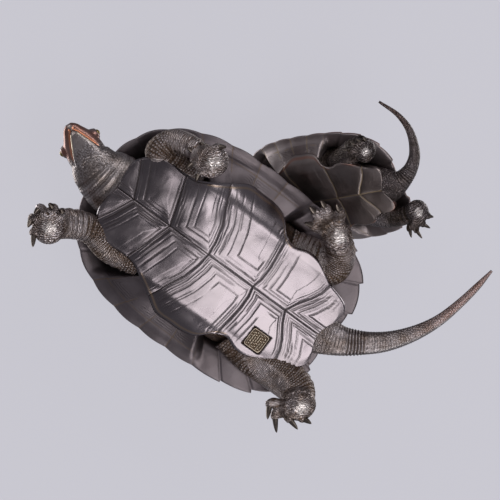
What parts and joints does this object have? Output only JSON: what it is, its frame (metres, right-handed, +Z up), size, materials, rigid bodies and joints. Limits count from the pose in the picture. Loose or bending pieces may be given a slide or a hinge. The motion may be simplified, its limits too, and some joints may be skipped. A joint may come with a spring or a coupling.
{
  "type": "bronze turtle group",
  "caption": "Cast bronze pond turtle with a long tail, standing, and a young turtle climbing its left flank, for a shelf or desk",
  "frame": {"origin": "On the floor under the middle of the whole group.", "axes": "+Z up, +X the way the large turtle faces, which is the group's longest side, +Y to its left."},
  "size_m": [0.27, 0.2059, 0.1031],
  "materials": {
    "dark_bronze": "dark grey-brown patina, satin, worn bright on the soles",
    "brown_bronze": "dark brown patina, satin, tan in the seams"
  },
  "bodies": {
    "root": {"mother_turtle": "dark_bronze", "young_turtle": "brown_bronze"}
  },
  "joints": []
}
